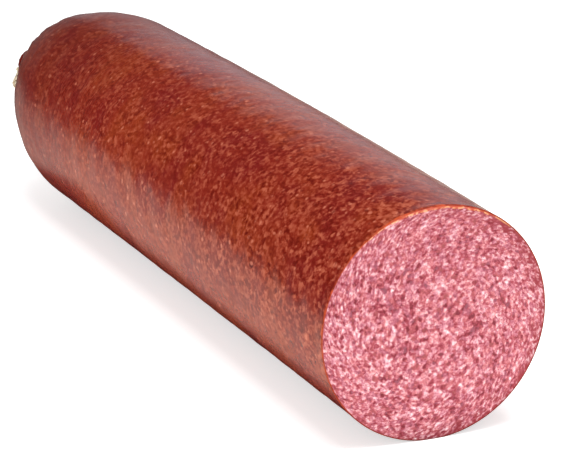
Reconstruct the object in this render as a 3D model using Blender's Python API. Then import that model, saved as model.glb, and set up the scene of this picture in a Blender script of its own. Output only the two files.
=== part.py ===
"""A cured sausage log with one straight cut end and one domed end tied off with twine.

Metres, +Z up. The log lies along X: its cut face looks towards +X, and its domed end, where the
casing is gathered into a pleated neck, points towards -X. It rests on a narrow flat along its belly.
"""
import math

import bmesh
import bpy
from mathutils import Vector

# The log, and the way that it runs from the cut face
LOG_AXIS = Vector((-1.0, 0.0, 0.0))
CALIBRE = 0.070
RADIUS = CALIBRE / 2
LENGTH = 4.2 * CALIBRE
SWELL = 0.020 * RADIUS
BOW = 0.045 * RADIUS
SIDES = 72
LOG_RINGS = 14

# The knife went through a touch off square: the way into the log from the cut face
CUT_AXIS = Vector((-1.0, 0.012, 0.018)).normalized()

# The domed end: how long it is, how blunt, and how far its tip lies off the log's own axis
DOME_LENGTH = 1.20 * RADIUS
DOME_BLUNTNESS = 1.9
DOME_DRIFT = Vector((0.0, -0.20 * RADIUS, 0.32 * RADIUS))
DOME_RINGS = 16

# Where the casing leaves the dome and is drawn in, steeply at first, to the root of the neck
GATHER_RADIUS = 0.40 * RADIUS
GATHER_STEEPNESS = 1.6
GATHER_RINGS = 5
NECK_ROOT = 0.0025
NECK_ROOT_RADIUS = 0.0036

# The neck's bend, its bound stretch (its start is measured from the neck's root) and the loose tail
NECK_RADIUS = 0.0032
BEND_TIGHTNESS = 0.55
BEND_RINGS = 7
TIE_START = Vector((-0.0061, -0.0090, -0.0048))
TIE_AXIS = Vector((0.12, 0.10, -1.0)).normalized()
TIE_HEIGHT = 0.0104
TIE_RINGS = 3
TAIL_LENGTH = 0.0074
TAIL_RADIUS = 0.0054
TAIL_RINGS = 5
TAIL_LIP = 0.80
TAIL_HOLLOW_DEPTH = 0.0030
TAIL_HOLLOW_WIDTH = 0.35

# Pleats: their number, the waves that spread them unevenly, and their depth as a share of the radius
PLEATS = 18
PLEAT_WAVES = (3, 5)
PLEAT_UNEVENNESS = 0.07
DOME_PLEAT_DEPTH = 0.045
NECK_PLEAT_DEPTH = 0.16
TAIL_PLEAT_DEPTH = 0.26

# The narrow flat that the log rests on
REST_SAG = 0.0009

# Twine
TWINE_RADIUS = 0.00085
TWINE_TURNS = 4
TWINE_PITCH = 0.0020
TURN_POINTS = 18
CLEARANCE = 0.0003

# The knot: a trefoil cut open at its top, whose two ends run on and lift
KNOT_SIZE = 0.00115
KNOT_OPENING = 0.085
KNOT_POINTS = 34
KNOT_END = 0.0060
KNOT_END_POINTS = 4
KNOT_END_LIFT = 0.35

SHARP_ANGLE = math.radians(50)


class Ring:
    """One cross-section of the log: a pleated round about a centre, square to an axis."""

    def __init__(self, centre, axis, radius, pleat_depth):
        self.centre = centre
        turn = LOG_AXIS.rotation_difference(axis)
        self.side = turn @ Vector((0, 1, 0))
        self.up = turn @ Vector((0, 0, 1))
        self.radius = radius
        self.pleat_depth = pleat_depth

    def point(self, angle):
        """The point of the ring at an angle from its side direction."""
        radius = self.radius * (1 - self.pleat_depth * pleat_fold(angle))
        return self.centre + radius * (math.cos(angle) * self.side + math.sin(angle) * self.up)


def pleat_fold(angle):
    """How deep the casing is folded in at an angle: 0 on a pleat's crest, 1 in its crease."""
    uneven = angle + PLEAT_UNEVENNESS * sum(math.sin(wave * angle + 1 / wave) for wave in PLEAT_WAVES)
    return 1 - abs(math.cos(PLEATS * uneven / 2))


def ease(share):
    """A smooth step from 0 to 1."""
    share = min(max(share, 0.0), 1.0)
    return share * share * (3 - 2 * share)


def log_radius(along):
    """The log's radius at a distance from the cut face, a little fuller in the middle."""
    share = along / LENGTH
    return RADIUS + 4 * SWELL * share * (1 - share)


def log_centre(along):
    """The log's axis at a distance from the cut face, bowed to one side."""
    share = along / LENGTH
    return Vector((-along, 4 * BOW * share * (1 - share), 0))


def log_rings():
    """The straight part, from the cut face to the foot of the dome."""
    straight = LENGTH - DOME_LENGTH
    stations = [straight * index / LOG_RINGS for index in range(1, LOG_RINGS)]
    rings = [Ring(log_centre(0), CUT_AXIS, log_radius(0), 0.0)]
    return rings + [Ring(log_centre(along), LOG_AXIS, log_radius(along), 0.0) for along in stations]


def dome_profile(share):
    """The dome's radius, as a share of the log's, at a share of the dome's length."""
    return (1 - share ** DOME_BLUNTNESS) ** (1 / DOME_BLUNTNESS)


def dome_rings():
    """The dome, from its foot to where the casing starts to gather."""
    rings = []
    gather_share = GATHER_RADIUS / RADIUS
    last_share = (1 - gather_share ** DOME_BLUNTNESS) ** (1 / DOME_BLUNTNESS)
    for index in range(DOME_RINGS + 1):
        share = math.sin(math.asin(last_share) * index / DOME_RINGS)
        along = LENGTH - DOME_LENGTH * (1 - share)
        centre = log_centre(along) + DOME_DRIFT * share ** 2
        radius = log_radius(along) * dome_profile(share)
        rings.append(Ring(centre, LOG_AXIS, radius, DOME_PLEAT_DEPTH * share ** 2))
    return rings


def neck_root():
    """The point where the neck starts, just past the dome's tip."""
    return log_centre(LENGTH) + DOME_DRIFT + NECK_ROOT * LOG_AXIS


def gather_rings(dome_end):
    """The casing drawn in from the dome to the neck."""
    rings = []
    for index in range(1, GATHER_RINGS + 1):
        share = index / GATHER_RINGS
        centre = dome_end.centre.lerp(neck_root(), share)
        spread = (1 - share) ** GATHER_STEEPNESS
        radius = NECK_ROOT_RADIUS + (dome_end.radius - NECK_ROOT_RADIUS) * spread
        depth = NECK_PLEAT_DEPTH + (DOME_PLEAT_DEPTH - NECK_PLEAT_DEPTH) * spread
        rings.append(Ring(centre, LOG_AXIS, radius, depth))
    return rings


def tie_start():
    """The top of the bound stretch of the neck."""
    return neck_root() + TIE_START


def bend_rings():
    """The neck's bend, from straight out of the dome to the direction of the tie."""
    start = neck_root()
    end = tie_start()
    reach = BEND_TIGHTNESS * (end - start).length
    handles = (start, start + reach * LOG_AXIS, end - reach * TIE_AXIS, end)
    rings = []
    for index in range(1, BEND_RINGS + 1):
        t = index / BEND_RINGS
        rest = 1 - t
        weights = (rest ** 3, 3 * rest ** 2 * t, 3 * rest * t ** 2, t ** 3)
        slopes = (-rest ** 2, rest ** 2 - 2 * rest * t, 2 * rest * t - t ** 2, t ** 2)
        centre = sum((weight * handle for weight, handle in zip(weights, handles)), Vector())
        axis = sum((slope * handle for slope, handle in zip(slopes, handles)), Vector()).normalized()
        rings.append(Ring(centre, axis, rest * NECK_ROOT_RADIUS + t * NECK_RADIUS, NECK_PLEAT_DEPTH))
    return rings


def tie_rings():
    """The bound stretch, which the twine goes round."""
    steps = [TIE_HEIGHT * (index + 1) / TIE_RINGS for index in range(TIE_RINGS)]
    return [Ring(tie_start() + step * TIE_AXIS, TIE_AXIS, NECK_RADIUS, NECK_PLEAT_DEPTH) for step in steps]


def tail_rings():
    """The loose tail, which flares out below the tie, and the hollow in its end."""
    start = tie_start() + TIE_HEIGHT * TIE_AXIS
    rings = []
    for index in range(1, TAIL_RINGS + 1):
        share = index / TAIL_RINGS
        radius = NECK_RADIUS + (TAIL_RADIUS - NECK_RADIUS) * ease(share)
        depth = NECK_PLEAT_DEPTH + (TAIL_PLEAT_DEPTH - NECK_PLEAT_DEPTH) * share
        rings.append(Ring(start + share * TAIL_LENGTH * TIE_AXIS, TIE_AXIS, radius, depth))
    lip = rings[-1]
    hollow = lip.centre - TAIL_HOLLOW_DEPTH * TIE_AXIS
    rings.append(Ring(lip.centre, TIE_AXIS, TAIL_LIP * TAIL_RADIUS, TAIL_PLEAT_DEPTH))
    rings.append(Ring(hollow, TIE_AXIS, TAIL_HOLLOW_WIDTH * TAIL_RADIUS, TAIL_PLEAT_DEPTH))
    return rings


def make_material(name, colour, roughness):
    """A plain finish in one colour."""
    material = bpy.data.materials.new(name)
    material.use_nodes = True
    shader = material.node_tree.nodes["Principled BSDF"]
    shader.inputs["Base Color"].default_value = (*colour, 1)
    shader.inputs["Roughness"].default_value = roughness
    shader.inputs["Metallic"].default_value = 0
    return material


def corner_angles(cap):
    """The angle of each corner of a primitive's cap, as its rings count them."""
    return [math.pi - math.atan2(corner.vert.co.y, corner.vert.co.x) for corner in cap.loops]


def place_cap(cap, ring, angles):
    """Put a cap's corners on a ring, each at its own angle."""
    for corner, angle in zip(cap.loops, angles):
        corner.vert.co = ring.point(angle)


def loft(bm, rings):
    """Extrude a short prism's far cap from ring to ring, and return the near cap, which stays behind."""
    bmesh.ops.create_cone(bm, cap_ends=True, segments=SIDES, radius1=1, radius2=1, depth=1)
    near_cap, far_cap = sorted((face for face in bm.faces if len(face.verts) == SIDES),
                               key=lambda face: face.calc_center_median().z)
    near_angles = corner_angles(near_cap)
    far_angles = corner_angles(far_cap)
    place_cap(near_cap, rings[0], near_angles)
    place_cap(far_cap, rings[1], far_angles)
    for ring in rings[2:]:
        far_cap = bmesh.ops.extrude_discrete_faces(bm, faces=[far_cap])["faces"][0]
        place_cap(far_cap, ring, far_angles)
    return near_cap


def press_flat(bm):
    """Flatten the belly where the log rests."""
    floor = -(RADIUS + SWELL - REST_SAG)
    for vert in bm.verts:
        vert.co.z = max(vert.co.z, floor)


def make_sausage():
    """The log, its dome, its pleated neck and the tail of casing, all of one piece."""
    rings = log_rings() + dome_rings()
    rings += gather_rings(rings[-1])
    rings += bend_rings() + tie_rings() + tail_rings()
    mesh = bpy.data.meshes.new("sausage")
    mesh.materials.append(make_material("casing", (0.24, 0.035, 0.02), 0.35))
    mesh.materials.append(make_material("cut_meat", (0.60, 0.20, 0.21), 0.5))
    bm = bmesh.new()
    cut_face = loft(bm, rings)
    press_flat(bm)
    cut_face.material_index = 1
    bm.to_mesh(mesh)
    bm.free()
    mesh.shade_smooth()
    mesh.set_sharp_from_angle(angle=SHARP_ANGLE)
    sausage = bpy.data.objects.new("sausage", mesh)
    bpy.context.scene.collection.objects.link(sausage)
    return sausage


def make_twine(name, points, material):
    """A round length of twine through the given points."""
    curve = bpy.data.curves.new(name, "CURVE")
    curve.dimensions = "3D"
    curve.bevel_depth = TWINE_RADIUS
    curve.bevel_resolution = 2
    curve.use_fill_caps = True
    curve.materials.append(material)
    spline = curve.splines.new("POLY")
    spline.points.add(len(points) - 1)
    for target, point in zip(spline.points, points):
        target.co = (*point, 1)
    twine = bpy.data.objects.new(name, curve)
    bpy.context.scene.collection.objects.link(twine)
    return twine


def tie_frame():
    """The tie's middle, and two directions square to its axis: outward and sideways."""
    middle = tie_start() + TIE_HEIGHT / 2 * TIE_AXIS
    outward = (LOG_AXIS - LOG_AXIS.dot(TIE_AXIS) * TIE_AXIS).normalized()
    return middle, outward, TIE_AXIS.cross(outward)


def binding_points():
    """The turns of twine wound round the neck, starting and ending on its outward side."""
    middle, outward, sideways = tie_frame()
    reach = NECK_RADIUS + CLEARANCE + TWINE_RADIUS
    points = []
    for index in range(TWINE_TURNS * TURN_POINTS + 1):
        turns = index / TURN_POINTS
        angle = 2 * math.pi * turns
        height = (turns - TWINE_TURNS / 2) * TWINE_PITCH
        spoke = math.cos(angle) * outward + math.sin(angle) * sideways
        points.append(middle + reach * spoke + height * TIE_AXIS)
    return points


def knot_points():
    """An overhand knot on the outward side of the turns, with two short cut ends."""
    middle, outward, sideways = tie_frame()
    stand_off = NECK_RADIUS + 2 * CLEARANCE + 3 * TWINE_RADIUS + KNOT_SIZE
    centre = middle + stand_off * outward
    points = []
    for index in range(KNOT_POINTS):
        share = index / (KNOT_POINTS - 1)
        angle = 2 * math.pi * (KNOT_OPENING + (1 - 2 * KNOT_OPENING) * share)
        across = (math.sin(angle) + 2 * math.sin(2 * angle)) * KNOT_SIZE
        along = (math.cos(angle) - 2 * math.cos(2 * angle)) * KNOT_SIZE
        lift = -math.sin(3 * angle) * KNOT_SIZE
        points.append(centre + across * sideways + along * TIE_AXIS + lift * outward)
    first_end = cut_end(points[0], points[0] - points[1], outward)
    last_end = cut_end(points[-1], points[-1] - points[-2], outward)
    return first_end[::-1] + points + last_end


def cut_end(start, way, outward):
    """A short end of twine that runs on from a point and lifts away from the turns."""
    way = way.normalized()
    steps = [index / KNOT_END_POINTS for index in range(1, KNOT_END_POINTS + 1)]
    return [start + KNOT_END * (step * way + KNOT_END_LIFT * step ** 2 * outward) for step in steps]


def stand_on_origin(objects):
    """Move everything so that the middle of its underside is the origin."""
    bpy.context.view_layer.update()
    corners = [obj.matrix_world @ Vector(corner) for obj in objects for corner in obj.bound_box]
    low = Vector([min(corner[axis] for corner in corners) for axis in range(3)])
    high = Vector([max(corner[axis] for corner in corners) for axis in range(3)])
    for obj in objects:
        obj.location -= Vector(((low.x + high.x) / 2, (low.y + high.y) / 2, low.z))


def main():
    """Build the sausage and its tie."""
    for obj in list(bpy.data.objects):
        bpy.data.objects.remove(obj)
    twine_material = make_material("twine", (0.72, 0.60, 0.44), 0.85)
    parts = [make_sausage()]
    parts.append(make_twine("twine_binding", binding_points(), twine_material))
    parts.append(make_twine("twine_knot", knot_points(), twine_material))
    stand_on_origin(parts)


main()
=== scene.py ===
"""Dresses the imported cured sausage: its smoked casing, cut face, casing tail and twine tie.

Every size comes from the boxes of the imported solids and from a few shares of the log's
radius. Lengths are metres, the log lies along X with its cut face towards +X, and +Z is up.
"""
import logging
import math
from collections.abc import Callable, Iterator, Sequence
from dataclasses import dataclass, field
from enum import Enum

import bmesh
import bpy
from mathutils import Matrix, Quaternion, Vector


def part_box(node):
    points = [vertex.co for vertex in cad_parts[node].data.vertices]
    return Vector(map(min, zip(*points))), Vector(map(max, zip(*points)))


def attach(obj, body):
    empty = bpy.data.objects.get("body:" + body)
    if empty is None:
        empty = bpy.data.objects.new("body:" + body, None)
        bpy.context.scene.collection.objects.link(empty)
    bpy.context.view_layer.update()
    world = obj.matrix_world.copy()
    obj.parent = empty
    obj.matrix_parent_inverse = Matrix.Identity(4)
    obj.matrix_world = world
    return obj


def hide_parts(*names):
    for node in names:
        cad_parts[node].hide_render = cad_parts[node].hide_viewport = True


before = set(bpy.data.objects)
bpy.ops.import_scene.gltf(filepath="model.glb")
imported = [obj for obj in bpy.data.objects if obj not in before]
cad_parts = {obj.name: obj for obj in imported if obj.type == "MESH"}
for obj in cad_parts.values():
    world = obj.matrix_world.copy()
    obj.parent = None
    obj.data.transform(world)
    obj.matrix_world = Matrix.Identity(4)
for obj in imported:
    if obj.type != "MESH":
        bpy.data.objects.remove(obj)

log = logging.getLogger("sausage")

MILLIMETRE = 0.001
Socket = bpy.types.NodeSocket
Input = Socket | float | Sequence[float]
Flat = tuple[float, float]


class Slot(Enum):
    """The record's material slots."""

    CASING = "casing"
    MEAT = "cut_meat"
    TWINE = "twine"


class TreeKind(Enum):
    """The two kinds of node tree that a pattern can be built in."""

    LOOK = "ShaderNodeTree"
    SHAPE = "GeometryNodeTree"


# ---------------------------------------------------------------------------
# Node trees
# ---------------------------------------------------------------------------
class Graph:
    """Adds and links the nodes of one tree."""

    def __init__(self, tree: bpy.types.NodeTree) -> None:
        """Keeps the tree that the nodes go in."""
        self.tree = tree

    def add(self, kind: str, inputs: dict[str | int, Input] | None = None, **settings: object) -> bpy.types.Node:
        """Adds one node.

        Args:
            kind: Blender's name for the kind of node.
            inputs: What each input takes, by its name or number.
            settings: The node's own settings.

        Returns:
            The new node.
        """
        node = self.tree.nodes.new(kind)
        for name, value in settings.items():
            setattr(node, name, value)
        for name, value in (inputs or {}).items():
            self.put(node, name, value)
        return node

    def put(self, node: bpy.types.Node, name: str | int, value: Input) -> None:
        """Links a socket to a node's input, or sets the input to a value."""
        if isinstance(value, Socket):
            self.tree.links.new(value, node.inputs[name])
        else:
            node.inputs[name].default_value = value

    def math(self, operation: str, first: Input, second: Input = 0.0, clamp: bool = False) -> Socket:
        """Returns the result of one sum on two values."""
        return self.add("ShaderNodeMath", {0: first, 1: second}, operation=operation, use_clamp=clamp).outputs[0]

    def vector(self, operation: str, first: Input, second: Input = (0.0, 0.0, 0.0)) -> Socket:
        """Returns the vector result of one sum on two vectors."""
        return self.add("ShaderNodeVectorMath", {0: first, 1: second}, operation=operation).outputs["Vector"]

    def scaled(self, place: Input, share: Input) -> Socket:
        """Returns a vector times a value."""
        node = self.add("ShaderNodeVectorMath", {0: place, "Scale": share}, operation="SCALE")
        return node.outputs["Vector"]

    def length(self, place: Input) -> Socket:
        """Returns the length of a vector."""
        return self.add("ShaderNodeVectorMath", {0: place}, operation="LENGTH").outputs["Value"]

    def dot(self, first: Input, second: Input) -> Socket:
        """Returns how far one vector runs along another."""
        node = self.add("ShaderNodeVectorMath", {0: first, 1: second}, operation="DOT_PRODUCT")
        return node.outputs["Value"]

    def fade(self, value: Input, low: float, high: float, to_low: float = 0.0, to_high: float = 1.0) -> Socket:
        """Returns a soft step of a value from one level to another."""
        inputs = {"Value": value, "From Min": low, "From Max": high, "To Min": to_low, "To Max": to_high}
        node = self.add("ShaderNodeMapRange", inputs, interpolation_type="SMOOTHSTEP")
        return node.outputs["Result"]

    def per(self, size: Input) -> Input:
        """Returns how many times a size goes into one metre."""
        return self.math("DIVIDE", 1.0, size) if isinstance(size, Socket) else 1.0 / size

    def split(self, place: Input) -> list[Socket]:
        """Returns the three parts of a vector or a colour."""
        return list(self.add("ShaderNodeSeparateXYZ", {0: place}).outputs)

    def noise(self, place: Input, size: Input, detail: float = 2.0, roughness: float = 0.5) -> bpy.types.Node:
        """Adds a cloudy noise whose clouds are about as wide as size."""
        inputs = {"Vector": place, "Scale": self.per(size), "Detail": detail, "Roughness": roughness}
        return self.add("ShaderNodeTexNoise", inputs)

    def cells(self, place: Input, size: Input) -> bpy.types.Node:
        """Adds a pattern of cells that are about as wide as size."""
        return self.add("ShaderNodeTexVoronoi", {"Vector": place, "Scale": self.per(size)})

    def soft_cells(self, place: Input, size: Input, softness: Input) -> bpy.types.Node:
        """Adds cells that run into each other, the more the softer they are."""
        inputs = {"Vector": place, "Scale": self.per(size), "Smoothness": softness}
        return self.add("ShaderNodeTexVoronoi", inputs, feature="SMOOTH_F1")

    def blend(self, share: Input, first: Input, second: Input, way: str = "MIX") -> Socket:
        """Returns one colour mixed into another."""
        node = self.add("ShaderNodeMix", {0: share, 6: first, 7: second}, data_type="RGBA", blend_type=way)
        return node.outputs[2]

    def ramp(self, value: Input, stops: Sequence[tuple[float, tuple[float, ...]]]) -> Socket:
        """Returns the colour that a value has along a row of colour stops."""
        node = self.add("ShaderNodeValToRGB", {"Fac": value})
        marks = node.color_ramp.elements
        while len(marks) < len(stops):
            marks.new(0.5)
        for mark, (place, colour) in zip(marks, stops):
            mark.position = place
            mark.color = colour
        return node.outputs["Color"]


def paint(red: int, green: int, blue: int) -> tuple[float, float, float, float]:
    """Turns a colour as a paint chart gives it, 0 to 255, into the linear colour that nodes take."""
    def linear(level: int) -> float:
        """Returns one channel's linear level."""
        share = level / 255.0
        return share / 12.92 if share <= 0.04045 else ((share + 0.055) / 1.055) ** 2.4

    return linear(red), linear(green), linear(blue), 1.0


@dataclass(frozen=True)
class MeatGrain:
    """Minced meat and back fat: soft grains of uneven paleness, with larger fat bits and dark bits.

    The same pattern is built for looks and for shapes, so that the relief follows the colour.
    Each field is the width of one kind of grain, apart from softness and the two rarities.
    """

    grain: float = 1.25 * MILLIMETRE
    crumb: float = 0.75 * MILLIMETRE
    fat_bit: float = 3.1 * MILLIMETRE
    dark_bit: float = 1.5 * MILLIMETRE
    wander: float = 0.4 * MILLIMETRE
    softness: float = 0.25
    fat_rarity: float = 0.76
    dark_rarity: float = 0.86

    def place_in(self, graph: Graph, kind: TreeKind, place: Socket) -> bpy.types.Node:
        """Places the pattern in a tree with this grain's own widths.

        Args:
            graph: The tree that the pattern goes in.
            kind: Whether that tree makes a look or a shape.
            place: The point that the pattern is read at.

        Returns:
            The group's node, whose outputs each run from 0 to 1.
        """
        holder = "ShaderNodeGroup" if kind is TreeKind.LOOK else "GeometryNodeGroup"
        inputs = {name: getattr(self, field_name) for name, field_name in GRAIN_INPUTS.items()}
        return graph.add(holder, {"Place": place, **inputs}, node_tree=grain_group(kind))


GRAIN_INPUTS = {
    "Grain Width": "grain",
    "Crumb Width": "crumb",
    "Fat Width": "fat_bit",
    "Dark Width": "dark_bit",
    "Wander": "wander",
    "Softness": "softness",
    "Fat Rarity": "fat_rarity",
    "Dark Rarity": "dark_rarity",
}


def grain_group(kind: TreeKind) -> bpy.types.NodeTree:
    """Builds the grain pattern once for each kind of tree.

    Args:
        kind: Whether the group is for looks or for shapes.

    Returns:
        A group that takes a Place and the widths, and puts out Grain, Tint, Fat and Dark.
    """
    name = f"meat_grain_{kind.name.lower()}"
    if name in bpy.data.node_groups:
        return bpy.data.node_groups[name]
    tree = bpy.data.node_groups.new(name, kind.value)
    tree.interface.new_socket("Place", in_out="INPUT", socket_type="NodeSocketVector")
    for title in GRAIN_INPUTS:
        tree.interface.new_socket(title, in_out="INPUT", socket_type="NodeSocketFloat")
    for title in ("Grain", "Tint", "Fat", "Dark"):
        tree.interface.new_socket(title, in_out="OUTPUT", socket_type="NodeSocketFloat")
    graph = Graph(tree)
    given = graph.add("NodeGroupInput").outputs
    clouds = graph.noise(given["Place"], graph.math("MULTIPLY", given["Grain Width"], 2.0))
    drift = graph.vector("SUBTRACT", clouds.outputs["Color"], (0.5, 0.5, 0.5))
    place = graph.vector("ADD", given["Place"], graph.scaled(drift, graph.math("MULTIPLY", given["Wander"], 2.0)))
    grains = graph.split(graph.soft_cells(place, given["Grain Width"], given["Softness"]).outputs["Color"])
    aside = graph.vector("ADD", place, (0.031, 0.017, 0.023))
    crumbs = graph.split(graph.soft_cells(aside, given["Crumb Width"], given["Softness"]).outputs["Color"])
    cloud = graph.noise(place, given["Grain Width"], detail=3.0).outputs["Fac"]
    value = graph.math("MULTIPLY", grains[0], 0.32)
    value = graph.math("ADD", value, graph.math("MULTIPLY", crumbs[1], 0.26))
    value = graph.math("ADD", value, graph.fade(cloud, 0.28, 0.72, 0.0, 0.42))
    elsewhere = graph.vector("ADD", place, (0.071, 0.043, 0.057))
    outputs = {
        "Grain": value,
        "Tint": grains[2],
        "Fat": scattered_bits(graph, place, given["Fat Width"], given["Fat Rarity"]),
        "Dark": scattered_bits(graph, elsewhere, given["Dark Width"], given["Dark Rarity"]),
    }
    graph.add("NodeGroupOutput", outputs)
    return tree


def scattered_bits(graph: Graph, place: Socket, size: Socket, rarity: Socket) -> Socket:
    """Returns a mask of scattered rounded bits; the rarer, the fewer cells have one."""
    spots = graph.cells(place, size)
    chosen = graph.split(spots.outputs["Color"])
    here = graph.math("GREATER_THAN", chosen[0], rarity)
    width = graph.math("ADD", graph.math("MULTIPLY", chosen[1], 0.18), 0.14)
    edge = graph.math("SUBTRACT", width, spots.outputs["Distance"])
    return graph.math("MULTIPLY", here, graph.fade(edge, -0.10, 0.10))


@dataclass(frozen=True)
class Relief:
    """Presses a piece's surface inward, deepest where the grain is lowest."""

    name: str
    pattern: MeatGrain
    grain_depth: float
    wave_depth: float
    wave_size: float
    bit_rise: float = 0.3

    def press(
        self,
        piece: bpy.types.Object,
        place_of: Callable[[Graph, Socket], Socket],
        strength_of: Callable[[Graph, Socket], Socket],
    ) -> None:
        """Adds the relief to a piece and applies it.

        Args:
            piece: The piece to press.
            place_of: Turns a point of the piece into its place in the pattern.
            strength_of: Turns a point of the piece into the share of the depth that it gets.
        """
        tree = bpy.data.node_groups.new(self.name, TreeKind.SHAPE.value)
        tree.interface.new_socket("Geometry", in_out="INPUT", socket_type="NodeSocketGeometry")
        tree.interface.new_socket("Geometry", in_out="OUTPUT", socket_type="NodeSocketGeometry")
        graph = Graph(tree)
        shape = graph.add("NodeGroupInput").outputs["Geometry"]
        point = graph.add("GeometryNodeInputPosition").outputs[0]
        grain = self.pattern.place_in(graph, TreeKind.SHAPE, place_of(graph, point))
        rise = graph.math("ADD", grain.outputs["Grain"], graph.math("MULTIPLY", grain.outputs["Fat"], self.bit_rise))
        rise = graph.math("SUBTRACT", rise, graph.math("MULTIPLY", grain.outputs["Dark"], self.bit_rise), clamp=True)
        wave = graph.fade(graph.noise(point, self.wave_size, detail=1.0).outputs["Fac"], 0.25, 0.75)
        fine = graph.math("MULTIPLY", graph.math("SUBTRACT", rise, 1.0), self.grain_depth)
        broad = graph.math("MULTIPLY", graph.math("SUBTRACT", wave, 1.0), self.wave_depth)
        normal = graph.add("GeometryNodeInputNormal").outputs[0]
        depth = graph.math("MULTIPLY", graph.math("ADD", fine, broad), strength_of(graph, point))
        offset = graph.scaled(normal, depth)
        moved = graph.add("GeometryNodeSetPosition", {"Geometry": shape, "Offset": offset})
        graph.add("NodeGroupOutput", {"Geometry": moved.outputs[0]})
        modifier = piece.modifiers.new(self.name, "NODES")
        modifier.node_group = tree
        apply_modifier(piece, modifier)


# ---------------------------------------------------------------------------
# Modelling by hand
# ---------------------------------------------------------------------------
def pick_only(piece: bpy.types.Object | None = None) -> None:
    """Deselects everything, then picks one object if it is given."""
    bpy.ops.object.select_all(action="DESELECT")
    if piece is not None:
        piece.select_set(True)
        bpy.context.view_layer.objects.active = piece


def apply_modifier(piece: bpy.types.Object, modifier: bpy.types.Modifier) -> None:
    """Applies one modifier to a piece."""
    pick_only(piece)
    bpy.ops.object.modifier_apply(modifier=modifier.name)


def settle_place(piece: bpy.types.Object) -> None:
    """Moves a piece's place into its mesh, so that its object sits at the origin."""
    pick_only(piece)
    bpy.ops.object.transform_apply(location=True, rotation=True, scale=True)


def select_edges(piece: bpy.types.Object, wanted: Callable[[Vector, Vector], bool]) -> None:
    """Selects the edges, in edit mode, whose two ends pass a test."""
    bpy.ops.mesh.select_mode(type="EDGE")
    bpy.ops.mesh.select_all(action="DESELECT")
    mesh = bmesh.from_edit_mesh(piece.data)
    for edge in mesh.edges:
        edge.select_set(wanted(edge.verts[0].co, edge.verts[1].co))
    bmesh.update_edit_mesh(piece.data, loop_triangles=False, destructive=False)


def dress(piece: bpy.types.Object, material: bpy.types.Material, slot: Slot, *nodes: str) -> None:
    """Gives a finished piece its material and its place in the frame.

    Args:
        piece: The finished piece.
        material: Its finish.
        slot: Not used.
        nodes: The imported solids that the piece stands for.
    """
    piece.data.materials.clear()
    piece.data.materials.append(material)
    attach(piece, "root")
    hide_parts(*nodes)
    log.info("%s: %d faces", piece.name, len(piece.data.polygons))


@dataclass(frozen=True)
class Ring:
    """One round cross-section of a tube."""

    centre: Vector
    axis: Vector
    radius: float
    pleat_depth: float = 0.0


class RingTube:
    """Pulls a tube out of a circle, ring by ring, with extrude, scale and rotate."""

    def __init__(self, name: str, first: Ring, sides: int) -> None:
        """Adds the first ring as a circle.

        Args:
            name: The piece's name.
            first: The ring that the tube starts from.
            sides: How many points go round it.
        """
        pick_only()
        facing = first.axis.to_track_quat("Z", "Y").to_euler()
        bpy.ops.mesh.primitive_circle_add(
            vertices=sides, radius=first.radius, location=first.centre, rotation=facing
        )
        self.piece = bpy.context.object
        self.piece.name = name
        self.sides = sides
        self.rings = [first]
        settle_place(self.piece)

    def pull(self, rings: Sequence[Ring]) -> None:
        """Pulls the tube's open end through more rings."""
        bpy.ops.object.mode_set(mode="EDIT")
        for ring in rings:
            last = self.rings[-1]
            bpy.ops.mesh.extrude_edges_move(TRANSFORM_OT_translate={"value": ring.centre - last.centre})
            scale = ring.radius / last.radius
            bpy.ops.transform.resize(value=(scale, scale, scale), center_override=ring.centre)
            turn_about(ring.centre, last.axis.rotation_difference(ring.axis))
            self.rings.append(ring)
        bpy.ops.object.mode_set(mode="OBJECT")

    def close_end(self) -> None:
        """Fills the tube's last ring, which has to be selected still."""
        bpy.ops.object.mode_set(mode="EDIT")
        bpy.ops.mesh.edge_face_add()
        bpy.ops.object.mode_set(mode="OBJECT")

    def press_pleats(self, fold: Callable[[float], float]) -> None:
        """Presses lengthwise pleats into the rings that have a pleat depth.

        Args:
            fold: Gives how deep a pleat is, from 0 to 1, at an angle round the tube.
        """
        deepest = max(ring.pleat_depth * ring.radius for ring in self.rings)
        group = self.piece.vertex_groups.new(name="pleats")
        for number, ring in enumerate(self.rings):
            if ring.pleat_depth == 0.0:
                continue
            turn = LOG_AXIS.rotation_difference(ring.axis)
            side, up = turn @ Vector((0.0, 1.0, 0.0)), turn @ Vector((0.0, 0.0, 1.0))
            for index in range(number * self.sides, (number + 1) * self.sides):
                arm = self.piece.data.vertices[index].co - ring.centre
                depth = ring.pleat_depth * ring.radius * fold(math.atan2(arm.dot(up), arm.dot(side)))
                group.add([index], depth / deepest, "REPLACE")
        modifier = self.piece.modifiers.new("pleats", "DISPLACE")
        modifier.vertex_group = group.name
        modifier.mid_level = 0.0
        modifier.strength = -deepest
        apply_modifier(self.piece, modifier)
        self.piece.vertex_groups.clear()


def turn_about(centre: Vector, turn: Quaternion) -> None:
    """Turns what is selected about a point, one axis after another."""
    for axis, angle in zip("XYZ", turn.to_euler("XYZ")):
        if abs(angle) > 1e-6:
            bpy.ops.transform.rotate(value=-angle, orient_axis=axis, orient_type="GLOBAL", center_override=centre)


def ease(share: float) -> float:
    """Returns a share that starts and ends gently."""
    return share * share * (3.0 - 2.0 * share)


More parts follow.
